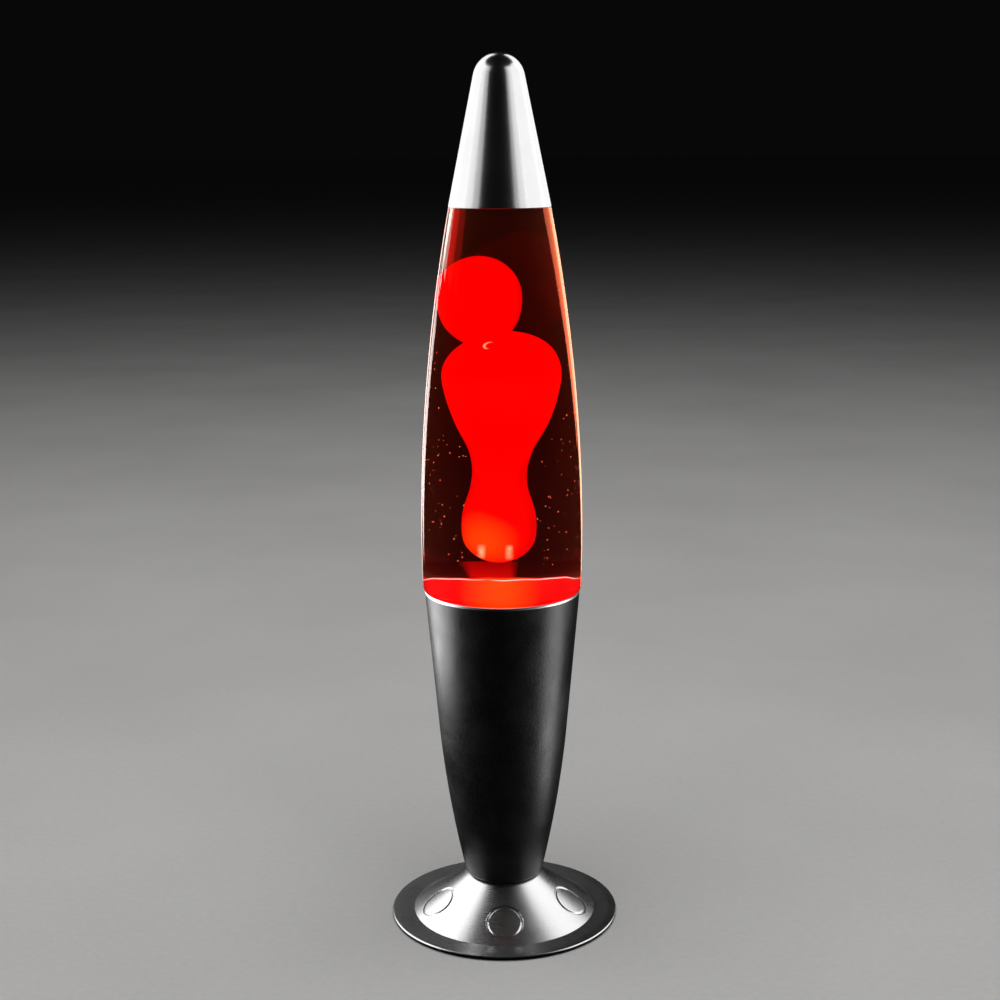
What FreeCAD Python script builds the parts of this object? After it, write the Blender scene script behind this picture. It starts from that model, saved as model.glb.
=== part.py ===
import FreeCAD
import Part
import math
import os
import Sketcher

# Lava lamp: a spun foot and a black base cone round a reflector bulb, a glass bottle of liquid
# and wax that stands in the cone, and a pointed metal cap over the bottle's crown closure.
# Millimetres, +Z up. The origin is the centre of the foot on the table, and -Y is the front.

# Driving dimensions. "up" is a height over the table and "r" is a radius from the lamp's axis.
SIZES = {
    # foot: a flared aluminium disc on rubber pads
    "foot_sheet": 1.2,
    "rim_up": 0.9,
    "rim_r": 55.2,
    "brim_r": 44.5,
    "flank_r": 18.3,
    "flank_up": 20.2,
    "flank_arc": 330.0,
    "deck_r": 14.5,
    "deck_up": 21.5,
    "deck_arc": 6.2,
    "stem_hole_r": 5.3,
    "button_ring_r": 33.9,
    "button_up": 9.0,
    "button_slope": 34.0,
    "button_r": 7.8,
    "button_groove": 1.1,
    "button_deep": 0.5,
    "button_count": 5,
    # bottom plate, its vents and its rubber pads
    "plate_sheet": 0.8,
    "plate_r": 41.5,
    "plate_flat_r": 33.0,
    "plate_boss_r": 15.0,
    "plate_boss_up": 8.0,
    "pad_thick": 1.5,
    "pad_r": 4.0,
    "pad_ring_r": 37.0,
    "pad_count": 4,
    "vent_r": 2.5,
    "vent_ring_r": 10.5,
    "vent_count": 6,
    # base cone
    "cone_sheet": 1.2,
    "cone_floor_r": 17.4,
    "cone_foot_r": 18.9,
    "cone_corner": 1.5,
    "cone_knee_r": 30.4,
    "cone_knee_up": 92.0,
    "cone_arc": 550.0,
    "cone_rim_r": 36.9,
    "cone_rim_up": 164.5,
    # cable outlet in the back of the cone
    "outlet_up": 33.0,
    "outlet_hole_r": 4.4,
    "outlet_bore_r": 3.2,
    "outlet_flange_r": 6.0,
    "outlet_from": 17.2,
    "outlet_groove": 4.2,
    "outlet_flange": 1.3,
    # threaded stem, its nuts and washers
    "stem_r": 5.0,
    "stem_bore_r": 3.6,
    "stem_from": 2.6,
    "stem_to": 32.5,
    "nut_flats": 14.0,
    "nut_thick": 3.0,
    "nut_bore_r": 5.05,
    "washer_r": 8.0,
    "washer_thick": 0.8,
    # lampholder
    "holder_from": 27.2,
    "holder_cup_r": 13.5,
    "holder_cup_wall": 1.6,
    "holder_block_from": 36.0,
    "holder_block_thick": 5.0,
    "holder_block_r": 12.0,
    "sleeve_r": 14.2,
    "sleeve_wall": 1.8,
    "sleeve_to": 58.0,
    "shell_in_r": 7.2,
    "shell_wall": 0.4,
    "shell_to": 57.0,
    "tongue_wide": 4.0,
    "tongue_thick": 0.5,
    "terminal_r": 1.5,
    "terminal_head_r": 2.6,
    "terminal_ring_r": 8.4,
    # bulb: small reflector lamp with a 14 mm screw cap
    "bulb_from": 43.2,
    "pip_r": 2.4,
    "pip_thick": 1.0,
    "insulator_thick": 2.5,
    "insulator_r": 5.2,
    "thread_r": 6.9,
    "thread_to": 62.0,
    "skirt_r": 8.5,
    "skirt_to": 68.2,
    "screw_wall": 0.3,
    "neck_r": 7.4,
    "bulb_glass": 0.8,
    "bulb_wide_r": 19.5,
    "bulb_wide_up": 99.0,
    "bulb_bowl_arc": 60.0,
    "bulb_edge_up": 102.5,
    "bulb_top": 109.2,
    "filament_up": 88.0,
    "filament_ring_r": 6.0,
    "filament_r": 0.45,
    "lead_r": 0.35,
    # bottle
    "bottle_from": 125.0,
    "bottle_floor": 3.3,
    "bottle_base_r": 24.5,
    "bottle_heel": 3.0,
    "taper_r": 34.9,
    "ledge_r": 36.4,
    "belly_r": 38.0,
    "belly_up": 187.5,
    "belly_arc": 848.0,
    "belly_from": 166.6,
    "glass": 2.2,
    "seat_up": 343.5,
    "plug_r": 21.4,
    "plug_up": 345.0,
    "neck_out_r": 12.6,
    "neck_from": 357.0,
    "shoulder_arc": 13.0,
    "lip_r": 13.2,
    "lip_from": 366.0,
    "mouth_up": 371.5,
    "mouth_r": 10.2,
    # what the bottle holds
    "film": 0.1,
    "pool_up": 171.0,
    "fill_up": 344.5,
    "coil_ring_r": 19.7,
    "coil_wire_r": 0.8,
    "coil_pitch": 2.4,
    "coil_turns": 2,
    "wax_gap": 0.3,
    "column_x": -0.3,
    "column_y": -1.5,
    "column_from": 180.0,
    "bulge_r": 13.3,
    "bulge_up": 193.3,
    "hip_arc": 43.8,
    "hip_r": 11.4,
    "hip_up": 210.5,
    "waist_arc": 36.0,
    "waist_r": 12.7,
    "waist_to": 235.8,
    "jowl_arc": 80.0,
    "head_r": 21.0,
    "head_up": 264.5,
    "column_to": 286.7,
    "bubble_x": -6.6,
    "bubble_y": 8.0,
    "bubble_up": 304.6,
    "bubble_r": 14.2,
    "bubble_half": 18.3,
    # crown closure and pointed cap
    "crown_sheet": 0.4,
    "crown_top": 372.6,
    "crown_top_r": 12.9,
    "crown_skirt_r": 14.3,
    "crown_from": 366.8,
    "cap_sheet": 1.0,
    "cap_base_r": 23.4,
    "cap_join_r": 11.57,
    "cap_join_up": 402.0,
    "cap_top": 411.5,
}

DOME, HOLLOW = 1, -1

doc = FreeCAD.newDocument("lava_lamp")


class Size:
    """A dimension: its value now, and the spreadsheet expression that it is bound to."""

    def __init__(self, value, text):
        self.value = value
        self.text = text

    def __add__(self, other):
        return Size(self.value + number(other), f"({self.text} + {text(other)})")

    def __sub__(self, other):
        return Size(self.value - number(other), f"({self.text} - {text(other)})")

    def __mul__(self, other):
        return Size(self.value * number(other), f"({self.text} * {text(other)})")


def number(size):
    return size.value if isinstance(size, Size) else size


def text(size):
    return size.text if isinstance(size, Size) else str(size)


def write_sheet():
    """The sheet of driving dimensions: a name and a plain number on each row."""
    sheet = doc.addObject("Spreadsheet::Sheet", "Sizes")
    for row, (alias, value) in enumerate(SIZES.items(), start=1):
        sheet.set(f"A{row}", alias)
        sheet.set(f"B{row}", str(value))
        sheet.setAlias(f"B{row}", alias)
    doc.recompute()


def size(alias):
    return Size(float(SIZES[alias]), f"Sizes.{alias}")


def bind(thing, **sizes):
    """Binds properties of an object to sizes."""
    for name, value in sizes.items():
        if isinstance(value, Size):
            thing.setExpression(name, value.text)
        else:
            setattr(thing, name, value)


def plane_of(body, role):
    return next(f for f in body.Origin.OriginFeatures if f.Role == role)


def arc_edge(start, end, radius):
    """A sketch arc from start to end; a positive radius turns left and a negative one right."""
    chord = end.sub(start)
    half = chord.Length / 2
    left = FreeCAD.Vector(-chord.y, chord.x, 0).normalize()
    away = math.sqrt(radius * radius - half * half) * math.copysign(1, radius)
    centre = start.add(end).multiply(0.5).add(left.multiply(away))
    first, last = (start, end) if radius > 0 else (end, start)
    angles = [math.atan2(p.y - centre.y, p.x - centre.x) for p in (first, last)]
    circle = Part.Circle(centre, FreeCAD.Vector(0, 0, 1), abs(radius))
    return Part.ArcOfCircle(circle, angles[0], angles[1])


def dome_radius(start, end, turn):
    """The radius of an arc centred on the axis, which both ends settle between them."""
    height = (end.x ** 2 + end.y ** 2 - start.x ** 2 - start.y ** 2) / (2 * (end.y - start.y))
    return math.hypot(start.x, start.y - height) * turn


def outline(body, name, role, corners):
    """A closed sketch on one of the body's planes. Each corner is (across, up), or
    (across, up, radius) where the edge that leaves the corner is an arc of that radius.
    DOME or HOLLOW in place of the radius is an arc centred on the axis, turning left or right."""
    sketch = body.newObject("Sketcher::SketchObject", name)
    sketch.AttachmentSupport = (plane_of(body, role), [""])
    sketch.MapMode = "FlatFace"
    points = [FreeCAD.Vector(number(c[0]), number(c[1]), 0) for c in corners]
    ends = []
    for i, corner in enumerate(corners):
        start, end = points[i], points[(i + 1) % len(points)]
        if len(corner) == 2:
            edge = sketch.addGeometry(Part.LineSegment(start, end), False)
            ends.append((edge, 1, 2))
            continue
        on_axis = corner[2] in (DOME, HOLLOW)
        radius = dome_radius(start, end, corner[2]) if on_axis else number(corner[2])
        edge = sketch.addGeometry(arc_edge(start, end, radius), False)
        ends.append((edge, 1, 2) if radius > 0 else (edge, 2, 1))
        if on_axis:
            sketch.addConstraint(Sketcher.Constraint("PointOnObject", edge, 3, -2))
        else:
            fix(sketch, corner[2] if radius > 0 else corner[2] * -1, "Radius", edge)
    for i, corner in enumerate(corners):
        before, after = ends[i - 1], ends[i]
        join = Sketcher.Constraint("Coincident", before[0], before[2], after[0], after[1])
        sketch.addConstraint(join)
        place(sketch, after[0], after[1], corner)
    return sketch


def fix(sketch, value, kind, *where):
    """Adds one constraint of a size, bound to the sheet where the size comes from it."""
    index = sketch.addConstraint(Sketcher.Constraint(kind, *where, number(value)))
    if isinstance(value, Size):
        sketch.setExpression(f"Constraints[{index}]", value.text)


def place(sketch, edge, end, corner):
    """Holds the end of an edge at a corner's place, or on the axis where that is zero."""
    for kind, value, axis in (("DistanceX", corner[0], -2), ("DistanceY", corner[1], -1)):
        if isinstance(value, Size) or value:
            fix(sketch, value, kind, -1, 1, edge, end)
        else:
            sketch.addConstraint(Sketcher.Constraint("PointOnObject", edge, end, axis))


def turned(label, corners):
    """A body of revolution about its own vertical axis, from its half section."""
    body = doc.addObject("PartDesign::Body", label)
    sketch = outline(body, f"{label}_section", "XZ_Plane", corners)
    revolve = body.newObject("PartDesign::Revolution", f"{label}_turned")
    revolve.Profile = sketch
    revolve.ReferenceAxis = (sketch, ["V_Axis"])
    revolve.Angle = 360
    return body


def cylinder(label, radius, height, at=(0, 0, 0), along=(0, 0, 1)):
    """A cylinder whose base stands at a point and which runs along a direction."""
    rod = doc.addObject("Part::Cylinder", label)
    bind(rod, Radius=radius, Height=height)
    turn = FreeCAD.Rotation(FreeCAD.Vector(0, 0, 1), FreeCAD.Vector(*along))
    rod.Placement = FreeCAD.Placement(FreeCAD.Vector(*[number(v) for v in at]), turn)
    for name, value in zip("xyz", at):
        if isinstance(value, Size):
            rod.setExpression(f"Placement.Base.{name}", value.text)
    return rod


def cut(label, base, tool):
    result = doc.addObject("Part::Cut", label)
    result.Base = base
    result.Tool = tool
    return result


def together(label, pieces, kind="Part::Compound"):
    """Several pieces as one object: separate solids, or one solid with Part::MultiFuse."""
    result = doc.addObject(kind, label)
    if kind == "Part::Compound":
        result.Links = pieces
    else:
        result.Shapes = pieces
    return result


def ring_of(count, radius):
    """Points evenly spaced round the axis, the first at the front."""
    turns = [2 * math.pi * i / count - math.pi / 2 for i in range(int(count))]
    return [(radius * math.cos(a), radius * math.sin(a), a) for a in turns]


# Foot and bottom plate


def foot_flank(depth):
    """The flared flank's top and bottom points at a depth under its outer face."""
    slope = math.radians(SIZES["button_slope"])
    inward = (math.sin(slope) * depth, math.cos(slope) * depth)
    top = (size("flank_r") - inward[0], size("flank_up") - inward[1])
    low = (size("brim_r") - inward[0], size("rim_up") + size("foot_sheet") - inward[1])
    return top, low


def foot():
    sheet, rim, arc = size("foot_sheet"), size("rim_up"), size("flank_arc")
    edge_r = size("rim_r") - sheet * 0.5
    top, low = foot_flank(0.0)
    under, under_low = foot_flank(SIZES["foot_sheet"])
    blank = turned("foot_blank", [
        (size("stem_hole_r"), size("deck_up")),
        (size("deck_r"), size("deck_up"), size("deck_arc") * -1),
        (top[0], top[1], arc),
        (low[0], low[1]),
        (edge_r, rim + sheet, sheet * -0.52),
        (edge_r, rim),
        (under_low[0] + sheet * 0.2, rim),
        (under_low[0], under_low[1], (arc + sheet) * -1),
        (under[0], under[1]),
        (size("deck_r"), size("deck_up") - sheet),
        (size("stem_hole_r"), size("deck_up") - sheet),
    ])
    cut("foot", blank, button_grooves())


def button_grooves():
    """Ring grooves that leave flush round buttons in the flank, all of one depth."""
    deep = SIZES["button_deep"]
    top, low = foot_flank(-deep)
    under, under_low = foot_flank(deep)
    arc = size("flank_arc")
    skin = turned("flank_skin", [
        (top[0], top[1], arc - deep),
        (low[0], low[1]),
        (under_low[0], under_low[1], (arc + deep) * -1),
        (under[0], under[1]),
    ])
    slope = math.radians(SIZES["button_slope"])
    reach = 4.0
    rings = []
    for i, (x, y, a) in enumerate(ring_of(SIZES["button_count"], SIZES["button_ring_r"])):
        outward = (math.sin(slope) * math.cos(a), math.sin(slope) * math.sin(a), math.cos(slope))
        start = [c - reach * n for c, n in zip((x, y, SIZES["button_up"]), outward)]
        wide = cylinder(f"groove_out_{i}", size("button_r") + size("button_groove"),
                        2 * reach, start, outward)
        core = cylinder(f"groove_in_{i}", size("button_r"), 2 * reach, start, outward)
        rings.append(cut(f"groove_{i}", wide, core))
    grooves = doc.addObject("Part::Common", "grooves")
    grooves.Base = skin
    grooves.Tool = together("groove_rings", rings)
    return grooves


def bottom_plate():
    """A pressed plate: its flat rim carries the pads, and its raised middle is clamped."""
    sheet, low, high = size("plate_sheet"), size("pad_thick"), size("plate_boss_up")
    plate = turned("plate_blank", [
        (size("stem_hole_r"), high),
        (size("plate_boss_r"), high),
        (size("plate_flat_r"), low),
        (size("plate_r"), low),
        (size("plate_r"), low + sheet),
        (size("plate_flat_r") + sheet * 0.5, low + sheet),
        (size("plate_boss_r") + sheet * 0.5, high + sheet),
        (size("stem_hole_r"), high + sheet),
    ])
    vents = [
        cylinder(f"vent_{i}", size("vent_r"), 12, (x, y, 0))
        for i, (x, y, _) in enumerate(ring_of(SIZES["vent_count"], SIZES["vent_ring_r"]))
    ]
    cut("bottom_plate", plate, together("vents", vents))


def rubber_feet():
    quarter = ring_of(SIZES["pad_count"], SIZES["pad_ring_r"])
    pads = [
        cylinder(f"pad_{i}", size("pad_r"), size("pad_thick"), (x, y, 0))
        for i, (x, y, _) in enumerate(quarter)
    ]
    together("rubber_feet", pads)


# Base cone and cable outlet


def base_cone():
    sheet, floor, arc = size("cone_sheet"), size("deck_up"), size("cone_arc")
    corner, foot_r = size("cone_corner"), size("cone_foot_r")
    shell = turned("cone_blank", [
        (size("stem_hole_r"), floor),
        (size("cone_floor_r"), floor, corner),
        (foot_r, floor + corner, arc),
        (size("cone_knee_r"), size("cone_knee_up")),
        (size("cone_rim_r"), size("cone_rim_up")),
        (size("cone_rim_r") - sheet, size("cone_rim_up")),
        (size("cone_knee_r") - sheet, size("cone_knee_up"), (arc - sheet) * -1),
        (foot_r - sheet, floor + corner),
        (foot_r - sheet - 0.5, floor + sheet),
        (size("stem_hole_r"), floor + sheet),
    ])
    hole = cylinder("outlet_hole", size("outlet_hole_r"), 20, (0, 12, size("outlet_up")), (0, 1, 0))
    cut("base_cone", shell, hole)


def cable_grommet():
    """A rubber bush, made along Z and laid along +Y through the back wall of the cone."""
    start, flange, groove = size("outlet_from"), size("outlet_flange"), size("outlet_groove")
    bore, waist, wide = size("outlet_bore_r"), size("outlet_hole_r") - 0.1, size("outlet_flange_r")
    bush = turned("cable_grommet", [
        (bore, start),
        (wide - 0.6, start),
        (wide - 0.6, start + flange),
        (waist, start + flange),
        (waist, start + flange + groove),
        (wide, start + flange + groove),
        (wide - 0.8, start + flange * 2 + groove),
        (bore, start + flange * 2 + groove),
    ])
    along_back = FreeCAD.Rotation(FreeCAD.Vector(1, 0, 0), -90)
    bush.Placement = FreeCAD.Placement(FreeCAD.Vector(0, 0, SIZES["outlet_up"]), along_back)
    bush.setExpression("Placement.Base.z", size("outlet_up").text)


# Stem, nuts and washers


def nut(label, up):
    blank = doc.addObject("Part::Prism", f"{label}_hexagon")
    across_corners = size("nut_flats") * (0.5 / math.cos(math.pi / 6))
    bind(blank, Polygon=6, Circumradius=across_corners, Height=size("nut_thick"))
    blank.setExpression("Placement.Base.z", up.text)
    bore = cylinder(f"{label}_bore", size("nut_bore_r"), size("nut_thick"), (0, 0, up))
    cut(label, blank, bore)


def washer(label, up):
    disc = cylinder(f"{label}_disc", size("washer_r"), size("washer_thick"), (0, 0, up))
    hole = cylinder(f"{label}_hole", size("stem_hole_r"), size("washer_thick"), (0, 0, up))
    return cut(label, disc, hole)


def stem():
    """The hollow threaded stem clamps plate, foot and cone together between two nuts."""
    long = size("stem_to") - size("stem_from")
    rod = cylinder("stem_rod", size("stem_r"), long, (0, 0, size("stem_from")))
    bore = cylinder("stem_bore", size("stem_bore_r"), long, (0, 0, size("stem_from")))
    cut("threaded_stem", rod, bore)
    under_plate = size("plate_boss_up") - size("washer_thick")
    on_floor = size("deck_up") + size("cone_sheet")
    together("stem_washers", [washer("lower_washer", under_plate), washer("upper_washer", on_floor)])
    nut("lower_nut", under_plate - size("nut_thick"))
    nut("upper_nut", on_floor + size("washer_thick"))


# Lampholder


def lampholder():
    cup, wall, base = size("holder_cup_r"), size("holder_cup_wall"), size("holder_from")
    block, thick = size("holder_block_from"), size("holder_block_thick")
    turned("lampholder_cup", [
        (size("nut_bore_r"), base),
        (cup, base),
        (cup, block),
        (cup - wall, block),
        (cup - wall, base + wall),
        (size("nut_bore_r") + 2.5, base + wall),
        (size("nut_bore_r") + 2.5, base + 5.0),
        (size("nut_bore_r"), base + 5.0),
    ])
    slab = cylinder("block_slab", size("holder_block_r"), thick, (0, 0, block))
    holes = [
        cylinder(f"terminal_hole_{i}", size("terminal_r") + 0.05, thick, (x, y, block))
        for i, (x, y, _) in enumerate(ring_of(2, SIZES["terminal_ring_r"]))
    ]
    cut("terminal_block", slab, together("terminal_holes", holes))
    inside = size("sleeve_r") - size("sleeve_wall")
    turned("lampholder_sleeve", [
        (inside, block),
        (size("sleeve_r"), block),
        (size("sleeve_r"), size("sleeve_to") - 1.0),
        (size("sleeve_r") - 1.0, size("sleeve_to")),
        (size("shell_in_r") + size("shell_wall") + 0.2, size("sleeve_to")),
        (size("shell_in_r") + size("shell_wall") + 0.2, size("sleeve_to") - 2.0),
        (inside, size("sleeve_to") - 2.0),
    ])
    screw = size("shell_in_r")
    turned("screw_shell", [
        (screw, block + thick),
        (screw + size("shell_wall"), block + thick),
        (screw + size("shell_wall"), size("shell_to")),
        (screw, size("shell_to")),
    ])


def contact_tongue():
    """The sprung centre contact: a strip that rises from the block to the bulb's pip."""
    body = doc.addObject("PartDesign::Body", "centre_contact")
    base, thick = size("holder_block_from") + size("holder_block_thick"), size("tongue_thick")
    top = size("bulb_from") - 0.3
    side = outline(body, "tongue_side", "XZ_Plane", [
        (6.0, base),
        (6.0, base + thick),
        (3.2, base + thick),
        (0.6, top),
        (-2.2, top),
        (-2.2, top - thick),
        (0.4, top - thick),
        (2.8, base),
    ])
    pad = body.newObject("PartDesign::Pad", "tongue_pad")
    pad.Profile = side
    pad.Midplane = True
    bind(pad, Length=size("tongue_wide"))


def terminal_screws():
    screws = []
    low = size("holder_block_from") - 1.6
    for i, (x, y, _) in enumerate(ring_of(2, SIZES["terminal_ring_r"])):
        head = cylinder(f"screw_head_{i}", size("terminal_head_r"), 1.6, (x, y, low))
        shank = cylinder(f"screw_shank_{i}", size("terminal_r"), 5.6, (x, y, low))
        screws.append(together(f"screw_{i}", [head, shank], "Part::MultiFuse"))
    together("terminal_screws", screws)


# Bulb


def bulb_cap():
    """The bulb's contact pip, insulator and screw cap, one on another."""
    low = size("bulb_from")
    cylinder("bulb_end_contact", size("pip_r"), size("pip_thick"), (0, 0, low))
    on_pip = low + size("pip_thick")
    on_insulator = on_pip + size("insulator_thick")
    turned("bulb_insulator", [
        (0, on_pip),
        (size("pip_r") + 0.6, on_pip),
        (size("insulator_r"), on_insulator),
        (0, on_insulator),
    ])
    wall, thread = size("screw_wall"), size("thread_r")
    turned("bulb_screw_cap", [
        (size("insulator_r") - 1.0, on_insulator),
        (thread - 0.5, on_insulator),
        (thread, on_insulator + 0.8),
        (thread, size("thread_to")),
        (size("skirt_r"), size("skirt_to")),
        (size("skirt_r") - wall, size("skirt_to")),
        (thread - wall, size("thread_to")),
        (thread - wall, on_insulator + 1.0),
        (thread - wall - 0.5, on_insulator + wall),
        (size("insulator_r") - 1.0, on_insulator + wall),
    ])


def bulb_glass():
    """The blown envelope: a neck in the skirt, a reflector bowl and a domed face."""
    wall, neck = size("bulb_glass"), size("neck_r")
    low = size("thread_to") + 3.0
    wide, edge = size("bulb_wide_up"), size("bulb_edge_up")
    turned("bulb_glass", [
        (neck - 0.6, low),
        (neck, low + 2.0),
        (neck + 0.4, size("skirt_to"), size("bulb_bowl_arc") * -1),
        (size("bulb_wide_r"), wide),
        (size("bulb_wide_r"), edge, 1.5),
        (size("bulb_wide_r") - 1.5, edge + 1.5, DOME),
        (0, size("bulb_top")),
        (0, size("bulb_top") - wall, HOLLOW),
        (size("bulb_wide_r") - 2.0, edge + 0.9),
        (size("bulb_wide_r") - wall, edge - 0.3),
        (size("bulb_wide_r") - wall, wide, size("bulb_bowl_arc") + wall),
        (neck + 0.4 - wall, size("skirt_to")),
        (neck - 0.6 - wall, low),
    ])


def bulb_inside():
    """The glass stem, the two lead wires and the filament bowed between them."""
    low, up, ring = size("thread_to") + 3.0, size("filament_up"), SIZES["filament_ring_r"]
    turned("bulb_stem", [
        (0, low),
        (5.6, low),
        (5.0, low + 1.0),
        (2.2, low + 6.0),
        (1.6, low + 14.0),
        (0, low + 14.0),
    ])
    leads = []
    foot_up = size("thread_to") + 17.2
    for i, side in enumerate((-1, 1)):
        wire_height = up - foot_up - size("filament_r") - 0.05
        leads.append(cylinder(f"lead_{i}", size("lead_r"), wire_height, (side * ring, 0, foot_up)))
    together("filament_leads", leads)
    coil = doc.addObject("Part::Torus", "bulb_filament")
    bind(coil, Radius1=size("filament_ring_r"), Radius2=size("filament_r"), Angle3=240)
    start_turn = FreeCAD.Rotation(FreeCAD.Vector(0, 0, 1), -30)
    coil.Placement = FreeCAD.Placement(FreeCAD.Vector(0, 0, SIZES["filament_up"]), start_turn)
    coil.setExpression("Placement.Base.z", up.text)


# Bottle and what it holds


def belly(up, inset):
    """The bottle's radius at a height, on the long arc of its side less an inset."""
    arc, rise = SIZES["belly_arc"] - inset, up - SIZES["belly_up"]
    return SIZES["belly_r"] - inset - (arc - math.sqrt(arc * arc - rise * rise))


def bottle_glass():
    glass, low, mouth = size("glass"), size("bottle_from"), size("mouth_up")
    inner_arc = size("belly_arc") - glass
    neck, base, heel = size("neck_out_r"), size("bottle_base_r"), size("bottle_heel")
    inset = SIZES["glass"]
    turned("bottle_glass", [
        (0, low),
        (base, low, heel),
        (base + 2.8, low + 2.4),
        (size("taper_r"), size("cone_rim_up")),
        (size("ledge_r"), size("cone_rim_up"), 2.4),
        (belly(SIZES["belly_from"], 0), size("belly_from"), size("belly_arc")),
        (belly(SIZES["seat_up"], 0), size("seat_up")),
        (size("plug_r"), size("seat_up")),
        (size("plug_r"), size("plug_up"), size("shoulder_arc")),
        (neck, size("neck_from")),
        (neck, size("lip_from")),
        (size("lip_r"), size("lip_from") + 0.6),
        (size("lip_r"), mouth - 0.6),
        (size("lip_r") - 0.6, mouth),
        (size("mouth_r"), mouth),
        (size("mouth_r"), size("neck_from") - 1.4, (size("shoulder_arc") - 1.0) * -1),
        (size("plug_r") - glass, size("seat_up") + 1.0),
        (belly(SIZES["seat_up"] - 2.5, inset), size("seat_up") - 2.5, inner_arc * -1),
        (belly(SIZES["belly_from"], inset), size("belly_from")),
        (size("taper_r") - glass - 0.2, size("cone_rim_up") - 2.0),
        (base, low + 4.6),
        (base - 2.0, low + size("bottle_floor")),
        (0, low + size("bottle_floor")),
    ])


def wax_pool():
    """The melted pool at the bottom, with a channel where the wire coil lies."""
    film, floor = size("film"), size("bottle_from") + size("bottle_floor") + size("film")
    base, ring, wire = size("bottle_base_r"), size("coil_ring_r"), size("coil_wire_r")
    high = floor + size("coil_pitch") * SIZES["coil_turns"] + wire * 2 + 0.4
    inset = SIZES["glass"] + SIZES["film"]
    turned("wax_pool", [
        (0, floor),
        (ring - wire - 0.3, floor),
        (ring - wire - 0.3, high),
        (ring + wire + 0.3, high),
        (ring + wire + 0.3, floor),
        (base - 2.1, floor),
        (base - film, size("bottle_from") + 4.6),
        (size("taper_r") - size("glass") - 0.3, size("cone_rim_up") - 2.0),
        (belly(SIZES["belly_from"], inset), size("belly_from"), size("belly_arc") - inset),
        (belly(SIZES["pool_up"], inset), size("pool_up")),
        (0, size("pool_up")),
    ])


def wire_coil():
    """The coil of wire at the bottom of the bottle, which spreads the heat in the wax."""
    floor = size("bottle_from") + size("bottle_floor") + size("film") + 0.1
    spine = doc.addObject("Part::Helix", "coil_spine")
    bind(spine, Radius=size("coil_ring_r"), Pitch=size("coil_pitch"),
         Height=size("coil_pitch") * SIZES["coil_turns"])
    section = doc.addObject("Part::Circle", "coil_section")
    bind(section, Radius=size("coil_wire_r"))
    upright = FreeCAD.Rotation(FreeCAD.Vector(1, 0, 0), 90)
    section.Placement = FreeCAD.Placement(FreeCAD.Vector(SIZES["coil_ring_r"], 0, 0), upright)
    coil = doc.addObject("Part::Sweep", "wire_coil")
    coil.Sections = [section]
    coil.Spine = (spine, ["Edge1"])
    coil.Solid = True
    coil.Frenet = True
    coil.setExpression("Placement.Base.z", (floor + size("coil_wire_r")).text)


def wax_column(label, grow):
    """The tall rising wax: a bulge, a waist and a round head, all larger by grow."""
    column = turned(label, [
        (0, size("column_from") - grow, DOME),
        (size("bulge_r") + grow, size("bulge_up"), size("hip_arc") + grow),
        (size("hip_r") + grow, size("hip_up"), (size("waist_arc") - grow) * -1),
        (size("waist_r") + grow, size("waist_to"), size("jowl_arc") + grow),
        (size("head_r") + grow, size("head_up"), DOME),
        (0, size("column_to") + grow),
    ])
    column.setExpression("Placement.Base.x", size("column_x").text)
    column.setExpression("Placement.Base.y", size("column_y").text)
    return column


def wax_bubble(label, grow):
    """The wax that has broken away and floats near the top, larger by grow."""
    bubble = doc.addObject("Part::Ellipsoid", label)
    bind(bubble, Radius1=size("bubble_half") + grow, Radius2=size("bubble_r") + grow,
         Radius3=size("bubble_r") + grow)
    for axis, alias in zip("xyz", ("bubble_x", "bubble_y", "bubble_up")):
        bubble.setExpression(f"Placement.Base.{axis}", size(alias).text)
    return bubble


def liquid():
    """The clear liquid over the wax pool, hollow where the rising wax is."""
    inset = SIZES["glass"] + SIZES["film"]
    top = SIZES["seat_up"] - 2.5
    fill = turned("liquid_fill", [
        (0, size("pool_up")),
        (belly(SIZES["pool_up"], inset), size("pool_up"), size("belly_arc") - inset),
        (belly(top, inset), size("seat_up") - 2.5),
        (size("plug_r") - size("glass") - 0.15, size("fill_up")),
        (0, size("fill_up")),
    ])
    gap = SIZES["wax_gap"]
    hollows = [wax_column("column_hollow", gap), wax_bubble("bubble_hollow", gap)]
    cut("liquid", fill, together("wax_hollows", hollows))


# Closure and pointed cap


def crown():
    """The sealing disc on the bottle's mouth and the metal crown crimped over it."""
    sheet, top, skirt = size("crown_sheet"), size("crown_top"), size("crown_skirt_r")
    liner_thick = size("crown_top") - size("crown_sheet") - size("mouth_up")
    cylinder("crown_liner", size("crown_top_r") - 0.1, liner_thick, (0, 0, size("mouth_up")))
    turned("crown_cap", [
        (0, top),
        (0, top - sheet),
        (size("crown_top_r"), top - sheet),
        (skirt - sheet, top - 1.8),
        (skirt - sheet, size("crown_from")),
        (skirt, size("crown_from")),
        (skirt, top - 1.6),
        (size("crown_top_r") + 0.2, top),
    ])


def pointed_cap():
    sheet, seat = size("cap_sheet"), size("seat_up")
    join_r, join_up = size("cap_join_r"), size("cap_join_up")
    turned("pointed_cap", [
        (size("cap_base_r") - sheet, seat),
        (size("cap_base_r"), seat),
        (join_r, join_up, DOME),
        (0, size("cap_top")),
        (0, size("cap_top") - sheet, HOLLOW),
        (join_r - sheet, join_up - 0.2),
    ])


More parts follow.
